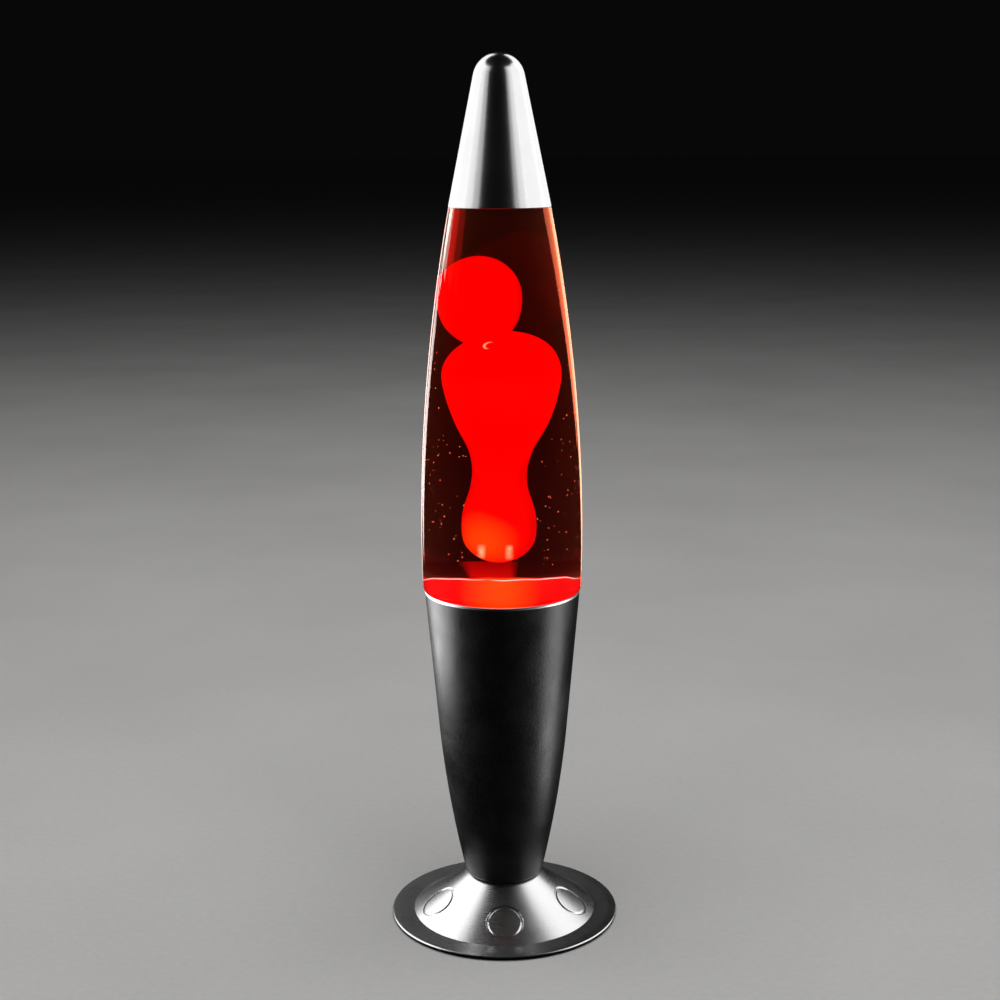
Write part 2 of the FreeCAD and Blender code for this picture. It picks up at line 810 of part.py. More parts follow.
NODES = [
    "foot", "bottom_plate", "rubber_feet", "base_cone", "cable_grommet",
    "threaded_stem", "stem_washers", "lower_nut", "upper_nut",
    "lampholder_cup", "terminal_block", "lampholder_sleeve", "screw_shell",
    "centre_contact", "terminal_screws",
    "bulb_end_contact", "bulb_insulator", "bulb_screw_cap", "bulb_glass",
    "bulb_stem", "filament_leads", "bulb_filament",
    "bottle_glass", "wire_coil", "wax_pool", "liquid", "wax_column", "wax_bubble",
    "crown_liner", "crown_cap", "pointed_cap",
]


def build():
    write_sheet()
    for make in (foot, bottom_plate, rubber_feet, base_cone, cable_grommet, stem, lampholder,
                 contact_tongue, terminal_screws, bulb_cap, bulb_glass, bulb_inside,
                 bottle_glass, wax_pool, wire_coil, liquid, crown, pointed_cap):
        make()
    wax_column("wax_column", 0)
    wax_bubble("wax_bubble", 0)
    doc.recompute()


def check():
    """Stops before anything is written if an object has failed or a shape is not whole."""
    for thing in doc.Objects:
        if {"Invalid", "Error"} & set(thing.State):
            raise RuntimeError(f"{thing.Name} did not recompute: {thing.State}")
    for name in NODES:
        shape = doc.getObject(name).Shape
        if shape.isNull() or not shape.isValid() or not shape.Solids or shape.Volume <= 0:
            raise RuntimeError(f"{name} has no sound shape")


def write_parts():
    os.makedirs("parts", exist_ok=True)
    for name in NODES:
        node = doc.getObject(name)
        node.Label = name
        node.Shape.exportStep(f"parts/{name}.step")
        print(f"{name:20s} {len(node.Shape.Solids)} solid(s) {node.Shape.Volume:10.1f} mm3")


build()
check()
write_parts()
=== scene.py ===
import math
import random

import bmesh
import bpy
from mathutils import Matrix, Quaternion, Vector, noise


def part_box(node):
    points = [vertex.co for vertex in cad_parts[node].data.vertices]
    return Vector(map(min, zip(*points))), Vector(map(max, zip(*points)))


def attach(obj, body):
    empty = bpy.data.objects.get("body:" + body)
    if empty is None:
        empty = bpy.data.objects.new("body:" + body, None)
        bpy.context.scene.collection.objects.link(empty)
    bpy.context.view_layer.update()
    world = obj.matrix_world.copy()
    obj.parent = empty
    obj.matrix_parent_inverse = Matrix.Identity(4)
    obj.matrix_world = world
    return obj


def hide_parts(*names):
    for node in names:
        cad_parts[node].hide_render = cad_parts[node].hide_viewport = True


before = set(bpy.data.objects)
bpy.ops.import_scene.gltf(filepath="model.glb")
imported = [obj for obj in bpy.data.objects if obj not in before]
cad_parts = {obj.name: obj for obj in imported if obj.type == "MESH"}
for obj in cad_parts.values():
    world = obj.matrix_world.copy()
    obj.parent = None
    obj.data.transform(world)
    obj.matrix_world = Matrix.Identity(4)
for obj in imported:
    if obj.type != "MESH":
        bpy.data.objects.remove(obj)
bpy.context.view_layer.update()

# Lava lamp. Profiles are in millimetres as (radius, height over the table), and meshes in metres.

MM = 0.001
ROUND = 192
SHARP = math.radians(32)
AXIS_R = 1e-6


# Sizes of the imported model, which the pieces here are built to


def node_heights(node):
    """The lowest and the highest height of a CAD node, in millimetres."""
    return [round(corner.z / MM, 2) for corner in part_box(node)]


def node_radius(node):
    """The radius of a CAD node about the vertical axis, in millimetres."""
    low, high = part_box(node)
    return round(max(-low.x, -low.y, high.x, high.y) / MM, 2)


# Profiles


def arc(start, end, radius, steps=24):
    """Points from start to end on an arc; a positive radius turns left and a negative one right."""
    half = math.hypot(end[0] - start[0], end[1] - start[1]) / 2
    away = math.copysign(math.sqrt(radius * radius - half * half), radius) / (2 * half)
    cx = (start[0] + end[0]) / 2 + (start[1] - end[1]) * away
    cy = (start[1] + end[1]) / 2 + (end[0] - start[0]) * away
    first = math.atan2(start[1] - cy, start[0] - cx)
    turn = math.atan2(end[1] - cy, end[0] - cx) - first
    turn = turn % math.tau if radius > 0 else -(-turn % math.tau)
    angles = [first + turn * i / steps for i in range(steps + 1)]
    return [(cx + abs(radius) * math.cos(a), cy + abs(radius) * math.sin(a)) for a in angles]


def dome(start, end, turn=1, steps=24):
    """Points from start to end on an arc centred on the axis."""
    height = (end[0] ** 2 + end[1] ** 2 - start[0] ** 2 - start[1] ** 2) / (2 * (end[1] - start[1]))
    return arc(start, end, math.hypot(start[0], start[1] - height) * turn, steps)


def soften(points, radius, closed=True, steps=4, least=0.4):
    """Rounds the corners of a profile that turn by more than least."""
    result = []
    for i, point in enumerate(points):
        here = Vector(point)
        back = Vector(points[i - 1]) - here
        ahead = Vector(points[(i + 1) % len(points)]) - here
        at_end = not closed and i in (0, len(points) - 1)
        if at_end or min(back.length, ahead.length) < 1e-6 or math.pi - back.angle(ahead) < least:
            result.append(tuple(point))
            continue
        reach = radius * math.tan((math.pi - back.angle(ahead)) / 2)
        first = here + back.normalized() * min(reach, back.length * 0.45)
        last = here + ahead.normalized() * min(reach, ahead.length * 0.45)
        for k in range(steps + 1):
            t = k / steps
            result.append(tuple(first * (1 - t) ** 2 + here * 2 * t * (1 - t) + last * t * t))
    return result


def relaxed(points, passes):
    """Smooths an open profile, with its ends held."""
    for _ in range(passes):
        inner = [
            ((a[0] + 2 * b[0] + c[0]) / 4, (a[1] + 2 * b[1] + c[1]) / 4)
            for a, b, c in zip(points, points[1:], points[2:])
        ]
        points = [points[0], *inner, points[-1]]
    return points


def smoothstep(low, high, value):
    t = min(max((value - low) / (high - low), 0.0), 1.0)
    return t * t * (3 - 2 * t)


# Meshes


def skin(name, rings, closed, paint=None):
    """A closed mesh through rings of points in millimetres. A ring of one point is a pole.
    closed joins the last ring to the first. paint gives each band's material index."""
    verts, starts = [], []
    for ring in rings:
        starts.append(len(verts))
        verts += [(x * MM, y * MM, z * MM) for x, y, z in ring]
    faces, bands = [], []
    for i in range(len(rings) if closed else len(rings) - 1):
        j = (i + 1) % len(rings)
        steps = max(len(rings[i]), len(rings[j]))
        for k in range(steps):
            n = (k + 1) % steps
            a, b, c, d = (
                starts[i] + k % len(rings[i]), starts[i] + n % len(rings[i]),
                starts[j] + n % len(rings[j]), starts[j] + k % len(rings[j]),
            )
            corners = [a, b, c, d]
            if len(rings[i]) == 1:
                corners = [a, c, d]
            elif len(rings[j]) == 1:
                corners = [a, b, c]
            faces.append(corners)
            bands.append(i)
    mesh = bpy.data.meshes.new(name)
    mesh.from_pydata(verts, [], faces)
    work = bmesh.new()
    work.from_mesh(mesh)
    work.faces.ensure_lookup_table()
    if work.calc_volume(signed=True) < 0:
        bmesh.ops.reverse_faces(work, faces=work.faces)
        work.faces.ensure_lookup_table()
    for face, band in zip(work.faces, bands):
        face.smooth = True
        face.material_index = paint(band) if paint else 0
    crease(work)
    work.to_mesh(mesh)
    work.free()
    obj = bpy.data.objects.new(name, mesh)
    bpy.context.scene.collection.objects.link(obj)
    return obj


def crease(work):
    """Marks the edges that bend by more than SHARP, so that shading breaks there."""
    for edge in work.edges:
        edge.smooth = len(edge.link_faces) != 2 or edge.calc_face_angle(0.0) < SHARP


def even_angles(count):
    return [math.tau * k / count for k in range(count)]


def around(profile, steps=ROUND, bend=None, centre=(0, 0), angles=None):
    """Rings of points from a half section. bend(r, z, angle) may move a point to (r, z)."""
    angles = angles or even_angles(steps)
    rings = []
    for r, z in profile:
        if r < AXIS_R:
            rings.append([(centre[0], centre[1], z)])
            continue
        ring = []
        for a in angles:
            rr, zz = bend(r, z, a) if bend else (r, z)
            ring.append((centre[0] + rr * math.cos(a), centre[1] + rr * math.sin(a), zz))
        rings.append(ring)
    return rings


def turned(name, profile, steps=ROUND, bend=None, centre=(0, 0), paint=None):
    """A solid of revolution. A profile that starts and ends on the axis is closed there."""
    closed = profile[0][0] > AXIS_R
    return skin(name, around(profile, steps, bend, centre), closed, paint)


def joined(name, objects):
    """Several meshes as one piece, each of them closed."""
    work = bmesh.new()
    for obj in objects:
        work.from_mesh(obj.data)
    mesh = bpy.data.meshes.new(name)
    work.to_mesh(mesh)
    work.free()
    for obj in objects:
        bpy.data.objects.remove(obj)
    result = bpy.data.objects.new(name, mesh)
    bpy.context.scene.collection.objects.link(result)
    return result


def applied(obj):
    """Applies an object's modifiers to its mesh."""
    graph = bpy.context.evaluated_depsgraph_get()
    mesh = bpy.data.meshes.new_from_object(obj.evaluated_get(graph))
    obj.modifiers.clear()
    obj.data = mesh
    return obj


def piece(obj, body, looks, slot, *nodes):
    """Gives a mesh its materials and its CAD body, and hides the CAD nodes it stands for. The slot is
    not used.
    """
    for look in looks:
        obj.data.materials.append(look)
    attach(obj, body)
    if nodes:
        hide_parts(*nodes)
    return obj


# Materials


# The sockets of a Mix node that mixes colours.
MIX_SHARE, MIX_FIRST, MIX_SECOND, MIX_RESULT = 0, 6, 7, 2
NOISE_ROUGH = 0.55


class Look:
    """A material under construction round one Principled shader."""

    def __init__(self, name, **sockets):
        self.material = bpy.data.materials.new(name)
        self.material.use_nodes = True
        self.tree = self.material.node_tree
        self.shader = self.tree.nodes["Principled BSDF"]
        self.place = self.add("ShaderNodeTexCoord").outputs["Object"]
        for socket, value in sockets.items():
            self.shader.inputs[socket.replace("_", " ")].default_value = value

    def add(self, kind, inputs=(), **settings):
        """A node with its settings; inputs are its sockets' values or links by position."""
        made = self.tree.nodes.new(kind)
        for name, value in settings.items():
            setattr(made, name, value)
        for i, value in enumerate(inputs):
            if isinstance(value, bpy.types.NodeSocket):
                self.tree.links.new(value, made.inputs[i])
            elif value is not None:
                made.inputs[i].default_value = value
        return made

    def join(self, source, socket):
        self.tree.links.new(source, self.shader.inputs[socket])

    def sum(self, operation, a, b=None):
        """The outcome of a sum on one or two values."""
        return self.add("ShaderNodeMath", (a, b), operation=operation).outputs[0]

    def radius(self):
        """The distance from the vertical axis."""
        flat = self.add("ShaderNodeVectorMath", (self.place, (1, 1, 0)), operation="MULTIPLY")
        length = self.add("ShaderNodeVectorMath", (flat.outputs[0],), operation="LENGTH")
        return length.outputs["Value"]

    def turning(self):
        """Coordinates whose noise runs in rings round the vertical axis, as spinning leaves it."""
        along = 0.02
        x, y, z = self.add("ShaderNodeSeparateXYZ", (self.place,)).outputs
        drift = self.sum("MULTIPLY", self.sum("ADD", x, y), along)
        return self.add("ShaderNodeCombineXYZ", (self.radius(), z, drift)).outputs[0]

    def noise(self, scale, detail=3.0, where=None):
        made = self.add("ShaderNodeTexNoise")
        self.tree.links.new(where or self.place, made.inputs["Vector"])
        made.inputs["Scale"].default_value = scale
        made.inputs["Detail"].default_value = detail
        made.inputs["Roughness"].default_value = NOISE_ROUGH
        return made.outputs[0]

    def spread(self, value, low, high, start=0.3, end=0.7):
        """Maps the middle of a noise onto low to high."""
        return self.add("ShaderNodeMapRange", (value, start, end, low, high)).outputs[0]

    def mixed(self, share, first, second):
        made = self.add("ShaderNodeMix", data_type="RGBA")
        for socket, value in ((MIX_SHARE, share), (MIX_FIRST, first), (MIX_SECOND, second)):
            if isinstance(value, bpy.types.NodeSocket):
                self.tree.links.new(value, made.inputs[socket])
            else:
                made.inputs[socket].default_value = value if socket == MIX_SHARE else (*value, 1)
        return made.outputs[MIX_RESULT]

    def relief(self, *layers):
        """Bump layers of (height output, depth in millimetres), one on another."""
        normal = None
        for height, depth in layers:
            made = self.add("ShaderNodeBump")
            made.inputs["Distance"].default_value = depth * MM
            self.tree.links.new(height, made.inputs["Height"])
            if normal:
                self.tree.links.new(normal, made.inputs["Normal"])
            normal = made.outputs[0]
        self.join(normal, "Normal")


def surface(name, tones, rough, grain, depth, mottle=60.0, spun=False, **sockets):
    """A procedural finish: tones mixed by slow mottling, roughness between two values with a finer
    variation, and a fine grain in relief, which runs round the axis where spun is set."""
    look = Look(name, **sockets)
    where = look.turning() if spun else look.place
    slow = look.noise(mottle, 4.0)
    fine = look.noise(grain, 3.0, where)
    blotch = look.sum("ADD", look.sum("MULTIPLY", slow, 0.55), look.sum("MULTIPLY", fine, 0.45))
    look.join(look.mixed(look.spread(blotch, 0.0, 1.0, 0.38, 0.62), *tones), "Base Color")
    look.join(look.spread(blotch, *rough, 0.38, 0.62), "Roughness")
    look.relief((fine, depth), (look.noise(mottle * 0.4), depth * 4))
    return look.material


def clear_glass(name, ior):
    look = Look(name, IOR=ior, Transmission_Weight=1.0)
    smudge = look.noise(35.0, 5.0)
    look.join(look.mixed(look.spread(smudge, 0, 1), (1, 1, 1), (0.985, 0.99, 0.985)), "Base Color")
    look.join(look.spread(smudge, 0.0, 0.012, 0.45, 0.75), "Roughness")
    look.relief((look.noise(18.0, 1.0), 0.02))
    return look.material


def liquid_look():
    """The tinted liquid: nothing at its surface, since the glass faces bend the light for it."""
    look = Look("liquid_tint", IOR=1.0, Transmission_Weight=1.0, Roughness=0.0)
    haze = look.noise(40.0, 3.0)
    look.join(look.mixed(look.spread(haze, 0, 1), (1, 1, 1), (0.96, 0.93, 0.92)), "Base Color")
    tint = look.add("ShaderNodeVolumeAbsorption")
    tint.inputs["Color"].default_value = LIQUID_PASSES
    tint.inputs["Density"].default_value = LIQUID_DENSITY
    out = look.tree.nodes["Material Output"]
    look.tree.links.new(tint.outputs[0], out.inputs["Volume"])
    return look.material


LIQUID_PASSES = (0.66, 0.20, 0.0, 1)
LIQUID_DENSITY = 112.0
WAX_RED = (1.0, 0.0, 0.0)
WAX_DEEP = (0.86, 0.0, 0.0)
WAX_ORANGE = (1.0, 0.13, 0.003)
# The pool's back is painted light: painted shade at its sides, and painted red light down its middle.
WAX_SHADED = (0.22, 0.06, 0.04)
PAINTED_BACK_GLOW = (4.0, 0.03, 0.0)
WAX_GLINT = (1.0, 1.5, 1.2)
POOL_ORANGE = (1.0, 0.055, 0.0)

# Where the bulb and the room show in the wax, in millimetres.
WARM_END, WARM_END_R = (-7.0, -10.0, 191.5), 9.5
GLINT_AT, GLINT_SHADE_AT, GLINT_R = (-4.9, -13.7, 282.6), (-4.0, -14.2, 282.5), 2.0
PRONGS_X, PRONGS_Z, PRONGS_APART = -2.6, 186.2, 5.3
POOL_WARM, POOL_WARM_R = (-1.0, -36.0, 172.5), 12.0
# Where the painted red light down the middle of the pool's back is centred, across the lamp.
BACK_GLOW_X = -3.3


def wax_base(name, strength):
    """Glowing red wax, deeper in slow patches: the look, its patches and its red."""
    look = Look(name)
    patch = look.noise(45.0, 3.0)
    look.join(look.spread(patch, 0.25, 0.45), "Roughness")
    look.relief((patch, 0.05))
    look.shader.inputs["Emission Strength"].default_value = strength
    return look, patch, look.mixed(look.spread(patch, 0.0, 1.0), WAX_RED, WAX_DEEP)


def near(look, patch, centre, radius, soft=4.0):
    """1 inside a ball and 0 outside, with a soft ragged edge. Sizes are in millimetres."""
    offset = look.add("ShaderNodeVectorMath", (look.place, tuple(v * MM for v in centre)),
                      operation="SUBTRACT")
    reach = look.add("ShaderNodeVectorMath", (offset.outputs[0],), operation="LENGTH")
    ragged = look.sum("ADD", reach.outputs["Value"], look.sum("MULTIPLY", patch, 3 * MM))
    return look.spread(ragged, 1.0, 0.0, (radius + 1.5 - soft) * MM, (radius + 1.5 + soft) * MM)


def band(look, value, centre, half, soft):
    """1 within half of centre and 0 beyond, over a soft edge. Sizes are in millimetres."""
    away = look.sum("ABSOLUTE", look.sum("SUBTRACT", value, centre * MM))
    return look.spread(away, 1.0, 0.0, (half - soft) * MM, (half + soft) * MM)


def waxed(look, red):
    look.join(look.mixed(0.5, red, (0.35, 0.0, 0.0)), "Base Color")
    look.join(red, "Emission Color")
    return look.material


def column_wax():
    """The rising wax: the bulb turns its low end orange, and the pool's rim glints in it."""
    look, patch, red = wax_base("column_wax_finish", 3.0)
    red = look.mixed(near(look, patch, WARM_END, WARM_END_R, 5.0), red, WAX_ORANGE)
    flare = near(look, patch, GLINT_AT, GLINT_R, 0.35)
    shade = near(look, patch, GLINT_SHADE_AT, GLINT_R, 0.35)
    crescent = look.sum("MULTIPLY", look.sum("MULTIPLY", flare, 0.4), look.sum("SUBTRACT", 1.0, shade))
    red = look.mixed(crescent, red, WAX_GLINT)
    x, y, z = look.add("ShaderNodeSeparateXYZ", (look.place,)).outputs
    front = look.spread(y, 1.0, 0.0, -6 * MM, -3 * MM)
    aside = look.sum("ABSOLUTE", look.sum("SUBTRACT", x, PRONGS_X * MM))
    across = band(look, aside, PRONGS_APART, 1.1, 0.7)
    prongs = look.sum("MULTIPLY", across, band(look, z, PRONGS_Z, 3.4, 1.0))
    glint = look.sum("MULTIPLY", prongs, front)
    broken = look.sum("MULTIPLY", glint, look.spread(look.noise(260.0), 0.35, 1.0))
    return waxed(look, look.mixed(broken, red, WAX_GLINT))


def bubble_wax():
    look, _, red = wax_base("bubble_wax_finish", 3.4)
    return waxed(look, red)


def pool_wax():
    """The melted pool: painted bulb light in orange at the front, and where it lies behind, painted
    shade at the sides and painted red light down the middle.
    """
    look, patch, red = wax_base("pool_wax_finish", 1.15)
    red = look.mixed(near(look, patch, POOL_WARM, POOL_WARM_R, 8.0), red, POOL_ORANGE)
    x, y, _ = look.add("ShaderNodeSeparateXYZ", (look.place,)).outputs
    behind = look.spread(y, 0.0, 1.0, -4 * MM, 3 * MM)
    off_middle = look.sum("ABSOLUTE", look.sum("SUBTRACT", x, BACK_GLOW_X * MM))
    aside = look.spread(off_middle, 0.0, 1.0, 5.5 * MM, 8 * MM)
    inside = look.spread(look.radius(), 1.0, 0.0, 34.5 * MM, 35.3 * MM)
    # Painted light on the pool's back: painted red light down the middle and painted shade at the sides.
    back_light_and_shade = look.mixed(aside, PAINTED_BACK_GLOW, WAX_SHADED)
    return waxed(look, look.mixed(look.sum("MULTIPLY", behind, inside), red, back_light_and_shade))


def speck_wax():
    look, patch, red = wax_base("speck_finish", 1.8)
    return waxed(look, look.mixed(patch, red, (1.0, 0.42, 0.2)))


def meniscus_wax():
    """The pool's upper edge against the glass, which catches the light in broken lengths."""
    look, _, _ = wax_base("meniscus_wax_finish", 1.3)
    lengths = look.spread(look.noise(55.0, 2.0), 0.0, 1.0, 0.40, 0.56)
    return waxed(look, look.mixed(lengths, (1.0, 0.10, 0.06), (1.0, 0.55, 0.46)))


def tungsten():
    look = Look("tungsten_finish", Metallic=1.0)
    grain = look.noise(1500.0)
    look.join(look.mixed(look.spread(grain, 0, 1), (0.35, 0.34, 0.33), (0.5, 0.48, 0.45)), "Base Color")
    look.join(look.spread(grain, 0.3, 0.5), "Roughness")
    look.join(look.mixed(look.spread(grain, 0, 1), (1.0, 0.55, 0.22), (1.0, 0.68, 0.34)),
              "Emission Color")
    look.shader.inputs["Emission Strength"].default_value = 6.0
    look.relief((grain, 0.01))
    return look.material


def reflector_glass():
    """The bulb's envelope: silvered inside below its widest part, frosted and glowing above."""
    look = Look("bulb_envelope_finish", IOR=1.5)
    height = look.add("ShaderNodeSeparateXYZ", (look.place,)).outputs[2]
    mottle = look.noise(120.0, 4.0)
    edge = look.sum("ADD", height, look.sum("MULTIPLY", mottle, 0.6 * MM))
    frosted = look.spread(edge, 0.0, 1.0, 100.6 * MM, 101.4 * MM)
    look.join(look.sum("SUBTRACT", 1.0, frosted), "Metallic")
    silver = look.mixed(mottle, (0.78, 0.77, 0.75), (0.9, 0.89, 0.87))
    look.join(look.mixed(frosted, silver, (0.9, 0.88, 0.83)), "Base Color")
    look.join(look.sum("ADD", look.spread(mottle, 0.05, 0.12), look.sum("MULTIPLY", frosted, 0.4)),
              "Roughness")
    look.join(look.mixed(frosted, (0, 0, 0), (1.0, 0.72, 0.42)), "Emission Color")
    look.shader.inputs["Emission Strength"].default_value = 1.4
    look.relief((look.noise(2200.0), 0.004))
    return look.material


ALUMINIUM = surface("satin_aluminium_finish", ((0.80, 0.80, 0.81), (0.86, 0.86, 0.86)),
                    (0.185, 0.215), 3600.0, 0.0003, spun=True, Metallic=1.0)
FOOT_METAL = surface("foot_aluminium_finish", ((0.80, 0.80, 0.81), (0.86, 0.86, 0.86)),
                     (0.26, 0.31), 3600.0, 0.0003, spun=True, Metallic=1.0)
BARE_EDGE = surface("bare_rim", ((0.82, 0.82, 0.83), (0.90, 0.90, 0.90)),
                    (0.34, 0.44), 2600.0, 0.003, spun=True, Metallic=1.0)
BLACK = surface("black_coat_finish", ((0.005, 0.005, 0.0053), (0.011, 0.011, 0.0115)),
                (0.29, 0.45), 1100.0, 0.08)
PLATE = surface("zinc_plate_finish", ((0.42, 0.43, 0.43), (0.58, 0.58, 0.57)),
                (0.30, 0.48), 900.0, 0.01, Metallic=1.0)
RUBBER = surface("pad_rubber_finish", ((0.018, 0.018, 0.018), (0.035, 0.034, 0.033)),
                 (0.62, 0.82), 1500.0, 0.03)
ZINC = surface("zinc_steel_finish", ((0.50, 0.51, 0.52), (0.66, 0.65, 0.62)),
               (0.24, 0.40), 1200.0, 0.008, Metallic=1.0)
PHENOLIC = surface("holder_plastic_finish", ((0.020, 0.019, 0.018), (0.038, 0.035, 0.032)),
                   (0.30, 0.46), 1400.0, 0.01)
BRASS = surface("brass_finish", ((0.62, 0.42, 0.15), (0.78, 0.56, 0.24)),
                (0.22, 0.38), 1300.0, 0.006, Metallic=1.0)
NICKEL = surface("nickel_finish", ((0.60, 0.58, 0.54), (0.74, 0.72, 0.68)),
                 (0.18, 0.32), 1500.0, 0.005, Metallic=1.0)
SOLDER = surface("solder_finish", ((0.52, 0.52, 0.53), (0.66, 0.66, 0.66)),
                 (0.28, 0.46), 700.0, 0.03, Metallic=1.0)
VITRITE = surface("black_insulator_finish", ((0.012, 0.011, 0.014), (0.028, 0.026, 0.032)),
                  (0.08, 0.22), 900.0, 0.02)
STEM_GLASS = clear_glass("stem_glass_finish", 1.5)
TIN = surface("crown_tin_finish", ((0.66, 0.66, 0.66), (0.78, 0.78, 0.77)),
              (0.18, 0.30), 1500.0, 0.006, Metallic=1.0)
LINER = surface("liner_finish", ((0.62, 0.60, 0.55), (0.72, 0.70, 0.66)),
                (0.55, 0.72), 1100.0, 0.02)
COIL = surface("coil_wire_finish", ((0.50, 0.50, 0.50), (0.66, 0.66, 0.65)),
               (0.22, 0.40), 1800.0, 0.006, Metallic=1.0)
DRY_GLASS = clear_glass("clear_glass_finish", 1.5)
WET_GLASS = clear_glass("wetted_glass_finish", 1.5 / 1.33)
FREE_SURFACE = clear_glass("liquid_top_finish", 1.33)
LIQUID = liquid_look()
COLUMN_WAX = column_wax()
BUBBLE_WAX = bubble_wax()
POOL_WAX = pool_wax()
MENISCUS = meniscus_wax()
SPECK_WAX = speck_wax()
TUNGSTEN = tungsten()
ENVELOPE = reflector_glass()


# Foot


BUTTONS = 5
BUTTON_RING, BUTTON_UP = 33.9, 9.0
BUTTON_SLOPE = math.radians(34)
BUTTON_R, GROOVE, GROOVE_DEEP = 7.8, 1.1, 0.55
BUTTON_TURNS = [math.tau * i / BUTTONS - math.pi / 2 for i in range(BUTTONS)]


def groove_depth(point):
    """How deep the ring grooves are at a point of the flank, and the way into the metal."""
    turn = min(BUTTON_TURNS, key=lambda a: -math.cos(a - math.atan2(point.y, point.x)))
    out = Vector((math.cos(turn), math.sin(turn), 0))
    normal = out * math.sin(BUTTON_SLOPE) + Vector((0, 0, math.cos(BUTTON_SLOPE)))
    offset = point - out * BUTTON_RING - Vector((0, 0, BUTTON_UP))
    across = (offset - normal * offset.dot(normal)).length
    off_ring = abs(across - BUTTON_R - GROOVE / 2) / (GROOVE / 2)
    return GROOVE_DEEP * (1 - smoothstep(0.45, 1.25, off_ring)), normal


def foot_angles():
    """Angles round the foot, closer together across the buttons."""
    fine, coarse = 42, 32
    step = math.radians(0.42)
    gap = math.tau / BUTTONS - 2 * fine * step
    angles = []
    for turn in BUTTON_TURNS:
        angles += [turn + k * step for k in range(-fine, fine + 1)]
        angles += [turn + fine * step + gap * k / coarse for k in range(1, coarse)]
    return angles


def foot():
    """The foot: a collar round the cone, a hollow flank with ring grooves, and a flat brim."""
    low, top = node_heights("foot")
    sheet = 1.2
    brim_up = low + sheet
    flank_top, flank_low, brim_edge = (18.3, 20.2), (44.5, brim_up), (54.6, brim_up)
    inward, down = sheet * math.sin(BUTTON_SLOPE), sheet * math.cos(BUTTON_SLOPE)
    under = (flank_top[0] - inward, flank_top[1] - down)
    under_low = (flank_low[0] - inward, flank_low[1] - down)
    flank = arc(flank_top, flank_low, 330.0, 110)
    outer = [(5.3, top)] + arc((14.5, top), flank_top, -6.2, 8)[:-1] + flank[:-1]
    first_flank, last_flank = len(outer) - len(flank), len(outer)
    brim = [flank[-3], flank_low, (47.5, brim_up), (50.5, brim_up), brim_edge]
    brim = soften(brim, 2.2, False, 8, 0.2)[1:-1]
    rim = arc(brim_edge, (54.6, low), -0.6001, 8)
    below = [(50.0, low), (under_low[0] + 0.3, low)]
    inner = arc(under_low, under, -331.2, 24) + [(14.5, top - sheet), (5.3, top - sheet)]
    profile = outer + brim + rim + below + inner

    rings = around(profile, angles=foot_angles())
    for i in range(first_flank, last_flank):
        for k, point in enumerate(rings[i]):
            depth, normal = groove_depth(Vector(point))
            rings[i][k] = tuple(Vector(point) - normal * depth)
    return skin("foot_disc", rings, True)


# Base cone


CONE_LOW, CONE_RIM = node_heights("base_cone")
OUTLET_UP = sum(node_heights("cable_grommet")) / 2


def at_outlet(obj):
    """Turns a shape made round the vertical axis to lie along the cable outlet, at the back."""
    obj.data.transform(Matrix.Rotation(-math.pi / 2, 4, "X"))
    obj.data.transform(Matrix.Translation((0, 0, OUTLET_UP * MM)))
    return obj


def cone():
    """The base cone: bowed below and straight above, with a bare edge and the outlet at the back."""
    low, bowed, wide, sheet = (18.95, 23.3), (30.4, 92.0), node_radius("base_cone"), 1.2
    outer = [(5.3, CONE_LOW)] + arc((17.2, CONE_LOW), low, 1.9, 8) + arc(low, bowed, 550.0, 60)
    reach, rise = wide - bowed[0], CONE_RIM - bowed[1]
    shares = (0.2, 0.4, 0.6, 0.8, 0.9, 0.985)
    wall = [(bowed[0] + reach * t, bowed[1] + rise * t) for t in shares]
    edge = [wall[-1], (wide, CONE_RIM), (wide - sheet, CONE_RIM), (35.6, CONE_RIM - 1.0)]
    edge = soften(edge, 0.45, False, 4)[1:]
    bowed_inside = (bowed[0] - sheet, bowed[1])
    inner = [bowed_inside] + arc(bowed_inside, (17.7, 23.6), -548.8, 60)[1:]
    bottom = [(17.0, CONE_LOW + sheet), (5.3, CONE_LOW + sheet)]
    profile = outer + wall + edge + inner + bottom
    bare = range(len(outer) + len(wall) - 1, len(outer) + len(wall) + len(edge) - 1)
    shell = turned("cone_shell", profile, 256, paint=lambda band: 1 if band in bare else 0)
    punch = at_outlet(turned("outlet_punch", [(0, 10), (4.4, 10), (4.4, 30), (0, 30)], 64))
    hole = shell.modifiers.new("outlet", "BOOLEAN")
    hole.object = punch
    hole.solver = "EXACT"
    applied(shell)
    bpy.data.objects.remove(punch)
    return shell


def grommet():
    bore, waist, wide = 3.2, 4.3, 6.0
    section = [
        (bore, 17.2), (5.4, 17.2), (5.4, 18.5), (waist, 18.5),
        (waist, 22.7), (wide, 22.7), (wide - 0.4, 24.0), (bore, 24.0),
    ]
    return at_outlet(turned("outlet_bush", soften(section, 0.35), 96))


def pads():
    count, ring = 4, 37
    top = node_heights("rubber_feet")[1]
    made = []
    for i in range(count):
        a = math.tau * i / count - math.pi / 2
        section = [(0, 0.25), (2.4, 0.25), (3.0, 0.0), (3.7, 0.0), (4.0, 0.3), (3.9, top), (0, top)]
        centre = (ring * math.cos(a), ring * math.sin(a))
        made.append(turned(f"pad_{i}", soften(section, 0.2, False), 64, centre=centre))
    return joined("foot_pads", made)


# Threads and the bulb


BULB_PITCH = 2.826


def helix(low, high, pitch, depth, fade):
    """A bend that adds a thread of a pitch and depth between two heights, faded out at both."""

    def bend(r, z, angle):
        inside = smoothstep(low, low + fade, z) * (1 - smoothstep(high - fade, high, z))
        return r + inside * depth * math.cos(math.tau * z / pitch - angle), z

    return bend


def steps_between(start, end, count):
    """Evenly spaced profile points from start to end."""
    return [tuple(Vector(start).lerp(Vector(end), k / count)) for k in range(count + 1)]


